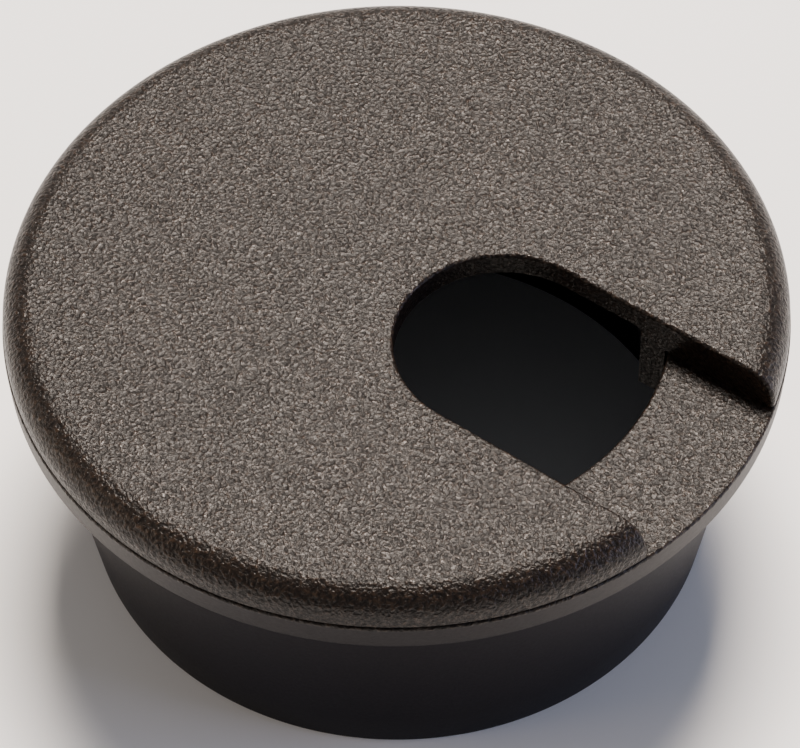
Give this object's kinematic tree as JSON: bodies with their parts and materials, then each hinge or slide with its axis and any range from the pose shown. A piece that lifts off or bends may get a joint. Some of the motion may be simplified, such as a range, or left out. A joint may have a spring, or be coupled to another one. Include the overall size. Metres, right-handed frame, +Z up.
{
  "type": "desk grommet",
  "caption": "Round moulded desk grommet: a flanged liner for a cable hole, with a snap-in turning cap that has an open cable slot.",
  "frame": {"origin": "centre of the flange's underside, on the axis of the barrel, level with the desk top", "axes": "+Z up out of the desk along the barrel's axis; +X along the cap's slot, towards its open end, at rest"},
  "size_m": [0.0602, 0.0602, 0.0256],
  "materials": {
    "liner_plastic": "moulded, spark-eroded grain on the flange, smooth barrel",
    "cap_plastic": "moulded, spark-eroded grain"
  },
  "bodies": {
    "liner": {"liner": "liner_plastic"},
    "cap": {"cap": "cap_plastic"}
  },
  "joints": [
    {"name": "cap_turn", "type": "hinge", "parent": "liner", "child": "cap", "pos_m": [0, 0, 0.0023], "axis": [0, 0, 1], "continuous": true}
  ]
}
